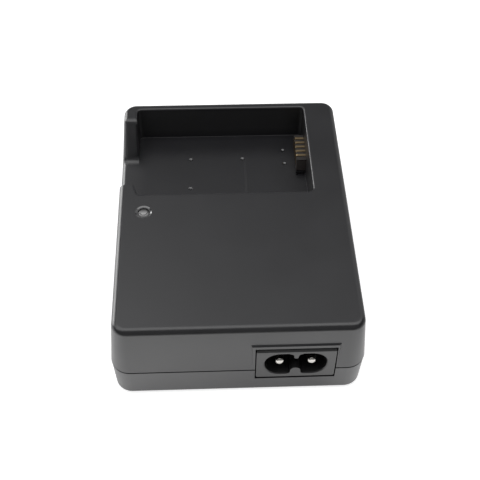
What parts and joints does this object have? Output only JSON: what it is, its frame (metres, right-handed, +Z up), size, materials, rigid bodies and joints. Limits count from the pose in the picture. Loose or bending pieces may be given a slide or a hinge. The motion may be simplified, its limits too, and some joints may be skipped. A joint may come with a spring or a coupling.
{
  "type": "battery charger",
  "caption": "Desktop battery charger: split moulded case with an open battery pocket, blade contacts, a status lamp and a figure-eight mains inlet.",
  "frame": {"origin": "middle of the bottom face, on the plane the charger stands on", "axes": "+Z up; +Y from the front wall with the mains inlet to the back wall of the battery pocket; +X to the right seen from the front"},
  "size_m": [0.0684, 0.0904, 0.0274],
  "materials": {
    "case": "satin moulded",
    "inlet": "satin moulded",
    "pin": "nickel plated",
    "lens": "frosted clear",
    "lamp": "moulded",
    "block": "moulded",
    "contact": "gold plated",
    "board": "solder resist",
    "sheet": "thin film",
    "ferrite": "sintered",
    "bobbin": "moulded",
    "tape": "film tape",
    "can": "shrink sleeve",
    "choke": "shrink tube over wire",
    "fuse": "moulded",
    "chip": "moulded",
    "disc": "dipped coating",
    "screw": "zinc plated"
  },
  "bodies": {
    "root": {"top_cover": "case", "bottom_cover": "case", "inlet_body": "inlet", "inlet_pin_left": "pin", "inlet_pin_right": "pin", "lamp_lens": "lens", "lamp_led": "lamp", "contact_block": "block", "contact_blade_1": "contact", "contact_blade_2": "contact", "contact_blade_3": "contact", "contact_blade_4": "contact", "contact_blade_5": "contact", "main_board": "board", "insulation_sheet": "sheet", "transformer_core": "ferrite", "transformer_bobbin": "bobbin", "transformer_winding": "tape", "input_capacitor": "can", "filter_capacitor": "can", "output_capacitor": "can", "line_choke": "choke", "fuse": "fuse", "bridge_rectifier": "chip", "switching_chip": "chip", "safety_capacitor": "disc", "optocoupler": "chip", "output_rectifier": "chip", "charge_chip": "chip", "case_screws": "screw"}
  },
  "joints": []
}
